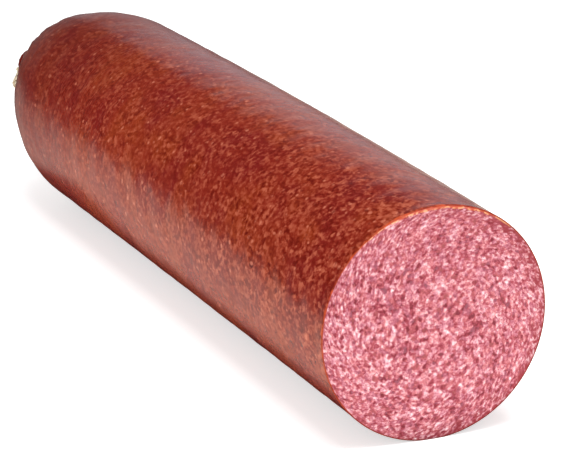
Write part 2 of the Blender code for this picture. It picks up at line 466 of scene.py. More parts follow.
def add_strand(name: str, points: Sequence[Vector], radius: float) -> bpy.types.Object:
    """Makes one round strand of thread along a row of points.

    Args:
        name: The strand's name.
        points: The row of points.
        radius: The strand's radius.

    Returns:
        The strand as a closed mesh.
    """
    curve = bpy.data.curves.new(name, "CURVE")
    curve.dimensions = "3D"
    curve.bevel_depth = radius
    curve.bevel_resolution = 2
    curve.use_fill_caps = True
    spline = curve.splines.new("POLY")
    spline.points.add(len(points) - 1)
    for point, place in zip(spline.points, points):
        point.co = (*place, 1.0)
    strand = bpy.data.objects.new(name, curve)
    bpy.context.scene.collection.objects.link(strand)
    pick_only(strand)
    bpy.ops.object.convert(target="MESH")
    return bpy.context.object


# ---------------------------------------------------------------------------
# The log's shape
# ---------------------------------------------------------------------------
LOG_AXIS = Vector((-1.0, 0.0, 0.0))
CUT_AXIS = Vector((-1.0, 0.012, 0.018)).normalized()
TIE_AXIS = Vector((0.12, 0.10, -1.0)).normalized()


@dataclass
class LogForm:
    """The log's lengths and radii, worked out from the box of its solid."""

    low: Vector
    high: Vector
    swell_share: float = 0.020
    bow_share: float = 0.045
    sag: float = 0.9 * MILLIMETRE
    length_share: float = 8.4
    dome_share: float = 1.20
    dome_bluntness: float = 1.9
    dome_drift_side: float = -0.20
    dome_drift_up: float = 0.32
    gather_share: float = 0.40
    gather_steepness: float = 1.6
    neck_reach: float = 2.5 * MILLIMETRE
    neck_root_radius: float = 3.6 * MILLIMETRE
    neck_radius: float = 3.2 * MILLIMETRE
    bend_tightness: float = 0.55
    tie_step: tuple[float, float, float] = (-0.0061, -0.0090, -0.0048)
    tie_height: float = 10.4 * MILLIMETRE
    radius: float = field(init=False)
    face: Vector = field(init=False)

    def __post_init__(self) -> None:
        """Works out the radius and the middle of the cut face."""
        height = self.high.z - self.low.z
        self.radius = (height + self.sag) / (2.0 + 2.0 * self.swell_share)
        lean = self.radius * math.hypot(CUT_AXIS.y, CUT_AXIS.z)
        middle = (self.low.y + self.high.y) / 2.0
        self.face = Vector((
            self.high.x - lean,
            middle - self.radius * (self.bow_share + self.swell_share) / 2.0,
            self.high.z - self.radius * (1.0 + self.swell_share),
        ))

    @property
    def length(self) -> float:
        """The log's length from its cut face to the tip of its dome."""
        return self.length_share * self.radius

    @property
    def drift(self) -> Vector:
        """How far the dome's tip lies off the log's axis."""
        return Vector((0.0, self.dome_drift_side * self.radius, self.dome_drift_up * self.radius))

    def centre_at(self, along: float) -> Vector:
        """Returns the middle of the log at a distance from the cut face."""
        share = along / self.length
        bow = 4.0 * self.bow_share * self.radius * share * (1.0 - share)
        return self.face + Vector((-along, bow, 0.0))

    def radius_at(self, along: float) -> float:
        """Returns the log's radius at a distance from the cut face."""
        share = along / self.length
        return self.radius * (1.0 + 4.0 * self.swell_share * share * (1.0 - share))

    @property
    def neck_root(self) -> Vector:
        """Where the gathered casing leaves the dome."""
        return self.centre_at(self.length) + self.drift + self.neck_reach * LOG_AXIS

    @property
    def tie_top(self) -> Vector:
        """Where the neck enters the tie."""
        return self.neck_root + Vector(self.tie_step)

    @property
    def tie_end(self) -> Vector:
        """Where the neck leaves the tie."""
        return self.tie_top + self.tie_height * TIE_AXIS


def pleat_fold(angle: float, pleats: int = 18) -> float:
    """Returns how deep the casing's pleats are at an angle: 0 on a ridge, 1 in a valley."""
    uneven = angle + 0.07 * sum(math.sin(wave * angle + 1.0 / wave) for wave in (3, 5))
    return 1.0 - abs(math.cos(pleats * uneven / 2.0))


def crease_fold(angle: float) -> float:
    """Returns the pleats with finer creases between them."""
    return 0.72 * pleat_fold(angle) + 0.28 * pleat_fold(angle + 0.11, pleats=46)


# ---------------------------------------------------------------------------
# Finishes
# ---------------------------------------------------------------------------
def new_material(name: str) -> tuple[bpy.types.Material, Graph, bpy.types.Node]:
    """Starts a material.

    Args:
        name: The finish's name.

    Returns:
        The material, the graph of its nodes and its surface shader.
    """
    material = bpy.data.materials.new(name)
    material.use_nodes = True
    return material, Graph(material.node_tree), material.node_tree.nodes["Principled BSDF"]


@dataclass(frozen=True)
class CasingFinish:
    """Smoked casing, close on the meat: brick red, flecked with the fat behind it, and glossy."""

    face: Vector
    grain: MeatGrain
    deep: tuple[float, ...] = paint(96, 18, 9)
    brick: tuple[float, ...] = paint(130, 38, 23)
    crimson: tuple[float, ...] = paint(116, 26, 24)
    rust: tuple[float, ...] = paint(138, 51, 23)
    fleck: tuple[float, ...] = paint(172, 86, 62)
    fat: tuple[float, ...] = paint(200, 116, 90)
    dark: tuple[float, ...] = paint(84, 10, 10)
    # Dark bits in the grain; also the colour of the painted shadow under the nick.
    edge: tuple[float, ...] = paint(192, 76, 40)
    # Colour of the painted shade on the dome, towards the far end.
    dome: tuple[float, ...] = paint(92, 22, 16)

    def material(self) -> bpy.types.Material:
        """Builds the finish."""
        material, graph, surface = new_material("smoked_casing")
        place = graph.add("ShaderNodeTexCoord").outputs["Object"]
        spot = casing_place(graph, place)
        grain = self.grain.place_in(graph, TreeKind.LOOK, spot)
        patch = graph.noise(place, 26.0 * MILLIMETRE, detail=2.0).outputs["Fac"]
        blush = graph.noise(graph.vector("ADD", place, (0.4, 0.1, 0.2)), 9.0 * MILLIMETRE).outputs["Fac"]
        ground = graph.blend(graph.fade(patch, 0.40, 0.60), self.crimson, self.rust)
        ground = graph.blend(graph.fade(blush, 0.35, 0.65, 0.2, 0.8), ground, self.brick)
        value = grain.outputs["Grain"]
        lively = graph.fade(graph.noise(place, 5.0 * MILLIMETRE).outputs["Fac"], 0.35, 0.65, 0.65, 1.2)
        behind = graph.dot(graph.vector("SUBTRACT", self.face, place), (1.0, 0.0, 0.0))
        lively = graph.math("MULTIPLY", lively, graph.fade(behind, 0.02, 0.16, 1.2, 0.85))
        # The grain's contrast fades on the underside and along the top on the far side; this is painted to stand in for
        # the sheen washing out the flecks there.
        upward = graph.dot(graph.vector("SUBTRACT", place, self.face), (0.0, 0.0, 1.0))
        beneath = graph.fade(upward, -25.0 * MILLIMETRE, 0.0, 0.27, 1.0)
        across = graph.dot(graph.vector("SUBTRACT", place, self.face), (0.0, 0.62, 0.78))
        quiet = graph.math("MULTIPLY", beneath, graph.fade(across, 19.0 * MILLIMETRE, 33.0 * MILLIMETRE, 1.0, 0.55))
        lively = graph.math("MULTIPLY", lively, quiet)
        hollow = graph.math("MULTIPLY", graph.fade(value, 0.10, 0.58, 0.8, 0.0), lively)
        colour = graph.blend(hollow, ground, self.deep)
        shown = graph.math("MULTIPLY", graph.fade(value, 0.40, 0.95, 0.0, 0.8), lively)
        colour = graph.blend(shown, colour, self.fleck)
        bright = graph.math("MULTIPLY", grain.outputs["Fat"], graph.fade(value, 0.2, 0.6, 0.1, 0.6))
        colour = graph.blend(graph.math("MULTIPLY", bright, quiet), colour, self.fat)
        burnt = graph.math("MULTIPLY", grain.outputs["Dark"], graph.math("MULTIPLY", quiet, 0.5))
        colour = graph.blend(burnt, colour, self.dark)
        colour = graph.blend(self._nick_and_shadow(graph, place, below=0.0), colour, self.fat)
        # Painted shadow: a dark crescent under the nick.
        colour = graph.blend(self._nick_and_shadow(graph, place, below=1.0), colour, self.dark)
        # Painted shade: the casing darkens towards the far end and at the neck.
        colour = graph.blend(self._dome_shade_share(graph, place), colour, self.dome)
        colour = graph.blend(self._rim(graph, place), colour, self.edge)
        graph.tree.links.new(colour, surface.inputs["Base Color"])
        streak = graph.vector("MULTIPLY", place, (1.0, 0.22, 0.22))
        skin = graph.noise(streak, 0.9 * MILLIMETRE, detail=2.0, roughness=0.5).outputs["Fac"]
        # The same painted-shade share also makes the dome duller.
        dull = graph.math("MULTIPLY", self._dome_shade_share(graph, place), 0.25)
        rough = graph.math("ADD", graph.fade(skin, 0.3, 0.7, 0.18, 0.27), dull)
        graph.tree.links.new(rough, surface.inputs["Roughness"])
        height = graph.math("ADD", graph.math("MULTIPLY", skin, 0.5), graph.math("MULTIPLY", value, 0.5))
        bump = graph.add("ShaderNodeBump", {"Height": height, "Strength": 0.4, "Distance": 0.07 * MILLIMETRE})
        graph.tree.links.new(bump.outputs["Normal"], surface.inputs["Normal"])
        surface.inputs["IOR"].default_value = 1.22
        return material

    def _dome_shade_share(self, graph: Graph, place: Socket) -> Socket:
        """Returns where the casing is painted darker: painted shade that grows towards the far end, where the light
        falls off, and a thin band of painted shade at the neck.
        """
        behind = graph.dot(graph.vector("SUBTRACT", self.face, place), (1.0, 0.0, 0.0))
        neck = graph.fade(behind, 0.297, 0.303, 0.0, 0.3)
        return graph.math("ADD", graph.fade(behind, 0.17, 0.30, 0.0, 0.65), neck)

    def _nick_and_shadow(self, graph: Graph, place: Socket, below: float) -> Socket:
        """Returns the one small nick in the skin, or the painted shadow below it, a dark crescent."""
        nick = self.face + Vector((-0.0519, -0.0339, 0.0070))
        away = graph.vector("MULTIPLY", graph.vector("SUBTRACT", place, nick), (0.55, 1.0, 1.0))
        lifted = graph.length(graph.vector("ADD", away, (0.0, 0.0, 0.6 * MILLIMETRE)))
        bare = graph.fade(graph.length(away), 0.35 * MILLIMETRE, 0.85 * MILLIMETRE, 0.6, 0.0)
        if below == 0.0:
            return bare
        nick_shadow = graph.fade(lifted, 0.55 * MILLIMETRE, 0.95 * MILLIMETRE, 0.95, 0.0)
        return graph.math("SUBTRACT", nick_shadow, graph.math("MULTIPLY", bare, 1.6), clamp=True)

    def _rim(self, graph: Graph, place: Socket) -> Socket:
        """Returns where the casing takes the colour of its cut edge, which creeps a little way back; it is kept to the
        upper left, where the edge catches the light, so it is partly a painted highlight.
        """
        arm = graph.vector("SUBTRACT", place, self.face)
        spread = graph.noise(place, 5.0 * MILLIMETRE).outputs["Fac"]
        creep = graph.math("SUBTRACT", graph.dot(arm, CUT_AXIS), graph.fade(spread, 0.45, 0.70, 0.0, 0.8 * MILLIMETRE))
        stained = graph.fade(creep, -0.3 * MILLIMETRE, 0.3 * MILLIMETRE, 0.8, 0.0)
        up = graph.dot(arm, (0.0, 0.0, 1.0))
        patchy = graph.fade(graph.noise(place, 1.8 * MILLIMETRE).outputs["Fac"], 0.35, 0.65, 0.35, 1.0)
        side = graph.dot(arm, (0.0, 1.0, 0.0))
        # Painted highlight: the stain shows only towards the upper left, where the edge is lit.
        left = graph.math("SUBTRACT", graph.math("MULTIPLY", up, 0.9), side)
        strength = graph.math("MULTIPLY", patchy, graph.fade(left, -8.0 * MILLIMETRE, 26.0 * MILLIMETRE, 0.0, 1.0))
        return graph.math("MULTIPLY", stained, strength)


def casing_place(graph: Graph, point: Socket) -> Socket:
    """Returns a point of the casing's place in the grain, which is drawn out along the log."""
    return graph.vector("MULTIPLY", point, (0.76, 0.92, 0.92))


def face_place(form: LogForm) -> Callable[[Graph, Socket], Socket]:
    """Makes the rule that gives a point of the cut face its place in the grain.

    The grain is squeezed towards the rim and turned a little, as the filler lays it down.

    Args:
        form: The log's shape.

    Returns:
        A rule that turns a point into a place.
    """
    def place_of(graph: Graph, point: Socket) -> Socket:
        """Returns the point's place in the grain."""
        flat = graph.vector("MULTIPLY", graph.vector("SUBTRACT", point, form.face), (0.0, 1.0, 1.0))
        share = graph.math("DIVIDE", graph.length(flat), form.radius)
        squeeze = graph.math("MULTIPLY_ADD", graph.math("POWER", share, 3.0), 0.22)
        squeeze.node.inputs[2].default_value = 1.0
        turn = graph.math("MULTIPLY", graph.math("POWER", share, 3.0), 0.22)
        pressed = graph.scaled(flat, squeeze)
        rolled = graph.add("ShaderNodeVectorRotate", {"Vector": pressed, "Angle": turn}, rotation_type="X_AXIS")
        return graph.vector("ADD", rolled.outputs["Vector"], (0.0137, 0.0211, 0.0173))

    return place_of


@dataclass(frozen=True)
class CutMeatFinish:
    """The cut face: rosy lean and pale fat in fine grains, moist, with an orange line at the rim."""

    form: LogForm
    grain: MeatGrain
    lean_dark: tuple[float, ...] = paint(122, 23, 40)
    lean: tuple[float, ...] = paint(161, 54, 70)
    pink: tuple[float, ...] = paint(194, 106, 118)
    pale: tuple[float, ...] = paint(219, 157, 162)
    fat: tuple[float, ...] = paint(242, 216, 219)
    salmon: tuple[float, ...] = paint(222, 128, 126)
    lilac: tuple[float, ...] = paint(214, 160, 184)
    dark: tuple[float, ...] = paint(110, 30, 44)
    speck: tuple[float, ...] = paint(126, 42, 54)
    dried: tuple[float, ...] = paint(146, 38, 50)
    edge_top: tuple[float, ...] = paint(200, 76, 34)
    # The rim line's colour in painted shade, then its painted glint.
    edge_in_shade: tuple[float, ...] = paint(110, 42, 32)
    edge_glint: tuple[float, ...] = paint(246, 182, 122)

    def material(self) -> bpy.types.Material:
        """Builds the finish."""
        material, graph, surface = new_material("cut_meat")
        point = graph.add("ShaderNodeTexCoord").outputs["Object"]
        place = face_place(self.form)(graph, point)
        grain = self.grain.place_in(graph, TreeKind.LOOK, place)
        cloud = graph.noise(place, 8.0 * MILLIMETRE).outputs["Fac"]
        clump = graph.noise(place, 2.6 * MILLIMETRE, detail=1.0).outputs["Fac"]
        value = graph.math("ADD", grain.outputs["Grain"], graph.fade(cloud, 0.3, 0.7, -0.06, 0.06))
        value = graph.math("ADD", value, graph.fade(clump, 0.28, 0.72, -0.14, 0.13))
        stops = [
            (0.14, self.lean_dark), (0.35, self.lean), (0.55, self.pink), (0.75, self.pale), (1.0, self.fat)
        ]
        colour = graph.ramp(value, stops)
        tint = grain.outputs["Tint"]
        colour = graph.blend(graph.fade(tint, 0.55, 0.85, 0.0, 0.25), colour, self.salmon)
        colour = graph.blend(graph.fade(tint, 0.15, 0.42, 0.15, 0.0), colour, self.lilac)
        whole = graph.math("MULTIPLY", grain.outputs["Fat"], graph.fade(value, 0.25, 0.6, 0.2, 0.85))
        colour = graph.blend(whole, colour, self.fat)
        colour = graph.blend(graph.math("MULTIPLY", grain.outputs["Dark"], 0.7), colour, self.dark)
        specks = graph.noise(place, 0.42 * MILLIMETRE, detail=1.0).outputs["Fac"]
        colour = graph.blend(graph.fade(specks, 0.30, 0.42, 0.6, 0.0), colour, self.speck)
        colour = self._rim(graph, point, value, colour)
        graph.tree.links.new(colour, surface.inputs["Base Color"])
        graph.tree.links.new(graph.fade(value, 0.2, 0.8, 0.5, 0.36), surface.inputs["Roughness"])
        fine = graph.noise(place, 0.5 * MILLIMETRE).outputs["Fac"]
        height = graph.math("ADD", graph.math("MULTIPLY", value, 0.7), graph.math("MULTIPLY", fine, 0.3))
        bump = graph.add("ShaderNodeBump", {"Height": height, "Strength": 0.35, "Distance": 0.3 * MILLIMETRE})
        graph.tree.links.new(bump.outputs["Normal"], surface.inputs["Normal"])
        surface.inputs["IOR"].default_value = 1.42
        return material

    def _rim(self, graph: Graph, point: Socket, value: Socket, colour: Socket) -> Socket:
        """Darkens the dried outer meat and draws the stained line at the rim, widest at the top; the line turns from
        orange on the upper left to dark brown on the lower right as painted light and shade, with painted glints just
        inside it on the upper left.

        Args:
            graph: The material's nodes.
            point: The point of the face.
            value: How pale the grain is there.
            colour: The grain's colour there.

        Returns:
            The colour with the rim in it.
        """
        flat = graph.vector("MULTIPLY", graph.vector("SUBTRACT", point, self.form.face), (0.0, 1.0, 1.0))
        inside = graph.math("SUBTRACT", self.form.radius, graph.length(flat))
        up = graph.dot(flat, (0.0, 0.0, 1.0 / self.form.radius))
        side = graph.dot(flat, (0.0, 1.0 / self.form.radius, 0.0))
        uneven = graph.noise(point, 3.0 * MILLIMETRE).outputs["Fac"]
        band = graph.fade(uneven, 0.3, 0.7, 1.2 * MILLIMETRE, 6.4 * MILLIMETRE)
        dryness = graph.math("SUBTRACT", 1.0, graph.math("DIVIDE", inside, band), clamp=True)
        dryness = graph.math("MULTIPLY", dryness, graph.fade(side, -0.6, 0.7, 0.22, 1.35))
        dryness = graph.math("MULTIPLY", dryness, graph.fade(value, 0.35, 0.75, 1.0, 0.35))
        colour = graph.blend(dryness, colour, self.dried)
        stain = graph.fade(up, 0.62, 0.98, 0.0, 0.8 * MILLIMETRE)
        stain = graph.math("MULTIPLY", stain, graph.fade(uneven, 0.25, 0.75, 0.4, 1.3))
        over = graph.math("SUBTRACT", graph.math("SUBTRACT", inside, 0.28 * MILLIMETRE), stain)
        line = graph.fade(over, -0.25 * MILLIMETRE, 0.25 * MILLIMETRE, 0.8, 0.0)
        # Painted light and shade: the line is orange on the upper left and dark brown on the lower right.
        left = graph.math("SUBTRACT", graph.math("MULTIPLY", up, 0.9), side)
        hue = graph.blend(graph.fade(left, -0.2, 0.6), self.edge_in_shade, self.edge_top)
        # Painted glints: pale specks just inside the line on the upper left.
        bits = graph.noise(point, 1.3 * MILLIMETRE).outputs["Fac"]
        inner = graph.fade(over, -0.6 * MILLIMETRE, -0.2 * MILLIMETRE)
        inner = graph.math("MULTIPLY", inner, graph.fade(left, -0.4, 0.4, 0.1, 1.0))
        hue = graph.blend(graph.math("MULTIPLY", graph.fade(bits, 0.43, 0.56), inner), hue, self.edge_glint)
        return graph.blend(line, colour, hue)


@dataclass(frozen=True)
class TailFinish:
    """Dry casing with no meat behind it: a thin brown film, paler on its ridges."""

    film: tuple[float, ...] = paint(150, 84, 52)
    ridge: tuple[float, ...] = paint(196, 140, 96)

    def material(self) -> bpy.types.Material:
        """Builds the finish."""
        material, graph, surface = new_material("dry_casing")
        place = graph.add("ShaderNodeTexCoord").outputs["Object"]
        fibre = graph.vector("MULTIPLY", place, (1.0, 1.0, 0.3))
        mottle = graph.noise(fibre, 1.2 * MILLIMETRE, detail=4.0).outputs["Fac"]
        colour = graph.blend(graph.fade(mottle, 0.35, 0.65), self.film, self.ridge)
        graph.tree.links.new(colour, surface.inputs["Base Color"])
        graph.tree.links.new(graph.fade(mottle, 0.3, 0.7, 0.35, 0.55), surface.inputs["Roughness"])
        bump = graph.add("ShaderNodeBump", {"Height": mottle, "Strength": 0.6, "Distance": 0.2 * MILLIMETRE})
        graph.tree.links.new(bump.outputs["Normal"], surface.inputs["Normal"])
        return material


@dataclass(frozen=True)
class TwineFinish:
    """Natural cooking twine: pale fibres with darker hollows between them."""

    pale: tuple[float, ...] = paint(214, 200, 174)
    shade: tuple[float, ...] = paint(158, 138, 110)

    def material(self) -> bpy.types.Material:
        """Builds the finish."""
        material, graph, surface = new_material("natural_twine")
        place = graph.add("ShaderNodeTexCoord").outputs["Object"]
        fibre = graph.noise(place, 0.35 * MILLIMETRE, detail=4.0, roughness=0.6).outputs["Fac"]
        stain = graph.noise(place, 3.0 * MILLIMETRE).outputs["Fac"]
        mottle = graph.math("ADD", fibre, graph.fade(stain, 0.3, 0.7, -0.12, 0.12))
        colour = graph.blend(graph.fade(mottle, 0.32, 0.62), self.shade, self.pale)
        graph.tree.links.new(colour, surface.inputs["Base Color"])
        bump = graph.add("ShaderNodeBump", {"Height": fibre, "Strength": 0.8, "Distance": 0.12 * MILLIMETRE})
        graph.tree.links.new(bump.outputs["Normal"], surface.inputs["Normal"])
        surface.inputs["Roughness"].default_value = 0.85
        surface.inputs["Sheen Weight"].default_value = 0.3
        return material


# ---------------------------------------------------------------------------
# Sub-assemblies
# ---------------------------------------------------------------------------
@dataclass
class Casing:
    """The casing from its cut edge, over the log and the dome, to the neck in the tie."""

    form: LogForm
    grain: MeatGrain
    sides: int = 224
    log_rings: int = 66
    log_cuts: int = 3
    dome_rings: int = 60
    gather_rings: int = 22
    bend_rings: int = 14
    tie_rings: int = 5
    edge_width: float = 0.35 * MILLIMETRE
    dome_pleat: float = 0.045
    neck_pleat: float = 0.16

    def build(self) -> bpy.types.Object:
        """Models the casing and dresses it."""
        rings = list(self._rings())
        tube = RingTube("casing", rings[0], self.sides)
        tube.pull(rings[1:])
        tube.close_end()
        tube.press_pleats(crease_fold)
        self._part_long_edges(tube.piece)
        self._rest_on_floor(tube.piece)
        relief = Relief("casing_relief", self.grain, 0.035 * MILLIMETRE, 0.16 * MILLIMETRE, 9.0 * MILLIMETRE)
        relief.press(tube.piece, casing_place, self._relief_strength)
        pick_only(tube.piece)
        bpy.ops.object.shade_smooth()
        dress(tube.piece, CasingFinish(self.form.face, self.grain).material(), Slot.CASING, "sausage")
        return tube.piece

    def _rings(self) -> Iterator[Ring]:
        """Yields the rings from the cut edge to the end of the tie."""
        yield from self._edge()
        yield from self._log_and_dome()
        yield from self._gather()
        yield from self._bend_and_tie()

    def _edge(self) -> Iterator[Ring]:
        """Yields the rings of the casing's cut edge, from inside the meat to the outer skin."""
        inward = ((0.45, 0.60), (0.35, 0.0), (0.12, 0.0), (0.03, 0.04), (0.0, 0.15), (0.0, 0.40))
        for inset, back in inward:
            yield Ring(
                self.form.face + back * MILLIMETRE * CUT_AXIS, CUT_AXIS, self.form.radius - inset * MILLIMETRE
            )

    def _log_and_dome(self) -> Iterator[Ring]:
        """Yields the straight log's rings, then the dome's down to where the pleats gather."""
        form = self.form
        dome_length = form.dome_share * form.radius
        straight = form.length - dome_length
        for number in range(1, self.log_rings + 1):
            along = straight * number / self.log_rings
            yield Ring(form.centre_at(along), LOG_AXIS, form.radius_at(along))
        last_share = (1.0 - form.gather_share**form.dome_bluntness) ** (1.0 / form.dome_bluntness)
        for number in range(1, self.dome_rings + 1):
            share = math.sin(math.asin(last_share) * number / self.dome_rings)
            along = form.length - dome_length * (1.0 - share)
            shrink = (1.0 - share**form.dome_bluntness) ** (1.0 / form.dome_bluntness)
            centre = form.centre_at(along) + form.drift * share**2
            yield Ring(centre, LOG_AXIS, form.radius_at(along) * shrink, self.dome_pleat * share**2)

    def _gather(self) -> Iterator[Ring]:
        """Yields the rings where the dome draws in to the neck."""
        form = self.form
        start = list(self._log_and_dome())[-1]
        for number in range(1, self.gather_rings + 1):
            share = number / self.gather_rings
            spread = (1.0 - share) ** form.gather_steepness
            radius = form.neck_root_radius + (start.radius - form.neck_root_radius) * spread
            depth = self.neck_pleat + (self.dome_pleat - self.neck_pleat) * spread
            yield Ring(start.centre.lerp(form.neck_root, share), LOG_AXIS, radius, depth)

    def _bend_and_tie(self) -> Iterator[Ring]:
        """Yields the rings of the neck's bend and of its straight run inside the tie."""
        form = self.form
        start, end = form.neck_root, form.tie_top
        reach = form.bend_tightness * (end - start).length
        handles = (start, start + reach * LOG_AXIS, end - reach * TIE_AXIS, end)
        for number in range(1, self.bend_rings + 1):
            share = number / self.bend_rings
            radius = form.neck_root_radius + (form.neck_radius - form.neck_root_radius) * share
            centre, axis = bezier(handles, share)
            yield Ring(centre, axis, radius, self.neck_pleat)
        for number in range(1, self.tie_rings + 1):
            centre = form.tie_top + TIE_AXIS * form.tie_height * number / self.tie_rings
            yield Ring(centre, TIE_AXIS, form.neck_radius, self.neck_pleat)

    def _relief_strength(self, graph: Graph, point: Socket) -> Socket:
        """Returns no relief at the cut edge and full relief a little way from it."""
        behind = graph.dot(graph.vector("SUBTRACT", point, self.form.face), CUT_AXIS)
        return graph.fade(behind, 0.5 * MILLIMETRE, 4.0 * MILLIMETRE)

    def _part_long_edges(self, piece: bpy.types.Object) -> None:
        """Cuts the long faces of the straight log into squarer ones."""
        longest = 1.5 * MILLIMETRE
        pick_only(piece)
        bpy.ops.object.mode_set(mode="EDIT")
        select_edges(piece, lambda one, other: abs(one.x - other.x) > longest)
        bpy.ops.mesh.subdivide(number_cuts=self.log_cuts)
        bpy.ops.object.mode_set(mode="OBJECT")

    def _rest_on_floor(self, piece: bpy.types.Object) -> None:
        """Flattens the belly where the log settles on what it lies on."""
        floor = self.form.low.z
        pick_only(piece)
        bpy.ops.object.mode_set(mode="EDIT")
        bpy.ops.mesh.select_mode(type="VERT")
        bpy.ops.mesh.select_all(action="DESELECT")
        mesh = bmesh.from_edit_mesh(piece.data)
        for vertex in mesh.verts:
            vertex.select_set(vertex.co.z < floor)
        bmesh.update_edit_mesh(piece.data)
        bpy.ops.transform.resize(value=(1.0, 1.0, 0.0), center_override=(0.0, 0.0, floor))
        bpy.ops.object.mode_set(mode="OBJECT")


def bezier(handles: tuple[Vector, Vector, Vector, Vector], share: float) -> tuple[Vector, Vector]:
    """Returns the point on a curve at a share of its length, and the way that it runs there."""
    a, b, c, d = handles
    rest = 1.0 - share
    point = rest**3 * a + 3.0 * rest**2 * share * b + 3.0 * rest * share**2 * c + share**3 * d
    way = rest**2 * (b - a) + 2.0 * rest * share * (c - b) + share**2 * (d - c)
    return point, way.normalized()


@dataclass
class CutMeat:
    """The meat of the cut face, a disc of fine faces inside the casing's edge."""

    form: LogForm
    grain: MeatGrain
    inset: float = 0.30 * MILLIMETRE
    rim_sides: int = 600
    spacing: float = 0.36 * MILLIMETRE
    recess: float = 0.02 * MILLIMETRE

    def build(self) -> bpy.types.Object:
        """Models the disc and dresses it."""
        piece = self._disc()
        relief = Relief("meat_relief", self.grain, 0.16 * MILLIMETRE, 0.05 * MILLIMETRE, 12.0 * MILLIMETRE)
        relief.press(piece, face_place(self.form), self._relief_strength)
        pick_only(piece)
        bpy.ops.object.shade_smooth()
        dress(piece, CutMeatFinish(self.form, self.grain).material(), Slot.MEAT, "sausage")
        return piece

    def _relief_strength(self, graph: Graph, point: Socket) -> Socket:
        """Returns no relief where the disc meets the casing's edge and full relief inside it."""
        inside = graph.math("SUBTRACT", self.form.radius, graph.length(graph.vector("SUBTRACT", point, self.form.face)))
        return graph.fade(inside, 0.4 * MILLIMETRE, 1.2 * MILLIMETRE)

    def _disc(self) -> bpy.types.Object:
        """Models the disc from rings of faces, with half as many faces each time the radius halves."""
        radius = self.form.radius - self.inset
        pick_only()
        bpy.ops.mesh.primitive_circle_add(vertices=self.rim_sides, radius=radius)
        piece = bpy.context.object
        piece.name = "cut_meat"
        bpy.ops.object.mode_set(mode="EDIT")
        sides = self.rim_sides
        while sides > 40:
            cuts = round(radius / 2.0 / self.spacing) - 1
            self._add_circle(sides, radius / 2.0)
            self._bridge(piece, radius / 2.0, radius, cuts)
            radius, sides = radius / 2.0, sides // 2
            self._add_circle(sides, radius - self.spacing)
            self._bridge(piece, radius - self.spacing, radius, 0)
            radius -= self.spacing
        self._select_loop(piece, radius, radius)
        bpy.ops.mesh.extrude_edges_move()
        bpy.ops.transform.resize(value=(0.5, 0.5, 0.5), center_override=(0.0, 0.0, 0.0))
        bpy.ops.mesh.extrude_edges_move()
        bpy.ops.mesh.merge(type="CENTER")
        bpy.ops.mesh.select_all(action="SELECT")
        bpy.ops.mesh.normals_make_consistent(inside=False)
        if bmesh.from_edit_mesh(piece.data).faces[:][0].normal.z < 0.0:
            bpy.ops.mesh.flip_normals()
        bpy.ops.object.mode_set(mode="OBJECT")
        piece.location = self.form.face + self.recess * CUT_AXIS
        piece.rotation_euler = (-CUT_AXIS).to_track_quat("Z", "Y").to_euler()
        settle_place(piece)
        return piece

    def _add_circle(self, sides: int, radius: float) -> None:
        """Adds one more loop of edges to the disc."""
        bpy.ops.mesh.primitive_circle_add(vertices=sides, radius=radius)

    def _select_loop(self, piece: bpy.types.Object, inner: float, outer: float) -> None:
        """Selects the open edges of the loops at two radii."""
        def on_loop(one: Vector, other: Vector) -> bool:
            """Tells whether an edge runs along one of the two loops."""
            apart = abs(one.length - other.length)
            near = min(abs(one.length - inner), abs(one.length - outer))
            return apart < 1e-6 and near < 1e-6

        select_edges(piece, on_loop)

    def _bridge(self, piece: bpy.types.Object, inner: float, outer: float, cuts: int) -> None:
        """Fills the space between two loops with rings of faces."""
        self._select_loop(piece, inner, outer)
        bpy.ops.mesh.bridge_edge_loops(number_cuts=cuts, interpolation="LINEAR")


@dataclass
class CasingTail:
    """The end of the casing past the tie: a thin film that flares in pleats, open at its end."""

    form: LogForm
    sides: int = 216
    rings: int = 26
    start_back: float = 3.0 * MILLIMETRE
    length: float = 7.3 * MILLIMETRE
    end_radius: float = 5.3 * MILLIMETRE
    end_pleat: float = 0.26
    start_pleat: float = 0.16
    thickness: float = 0.16 * MILLIMETRE

    def build(self) -> bpy.types.Object:
        """Models the tail and dresses it."""
        form = self.form
        start = form.tie_end - self.start_back * TIE_AXIS
        rings = [Ring(start, TIE_AXIS, form.neck_radius, self.start_pleat)]
        for number in range(1, self.rings + 1):
            share = number / self.rings
            along = (self.start_back + self.length) * share
            flare = ease(max(0.0, (along - self.start_back) / self.length))
            radius = form.neck_radius + (self.end_radius - form.neck_radius) * flare
            depth = self.start_pleat + (self.end_pleat - self.start_pleat) * flare
            rings.append(Ring(start + along * TIE_AXIS, TIE_AXIS, radius, depth))
        tube = RingTube("casing_tail", rings[0], self.sides)
        tube.pull(rings[1:])
        tube.press_pleats(crease_fold)
        wall = tube.piece.modifiers.new("wall", "SOLIDIFY")
        wall.thickness = self.thickness
        wall.offset = -1.0
        apply_modifier(tube.piece, wall)
        pick_only(tube.piece)
        bpy.ops.object.shade_smooth()
        dress(tube.piece, TailFinish().material(), Slot.CASING, "sausage")
        return tube.piece


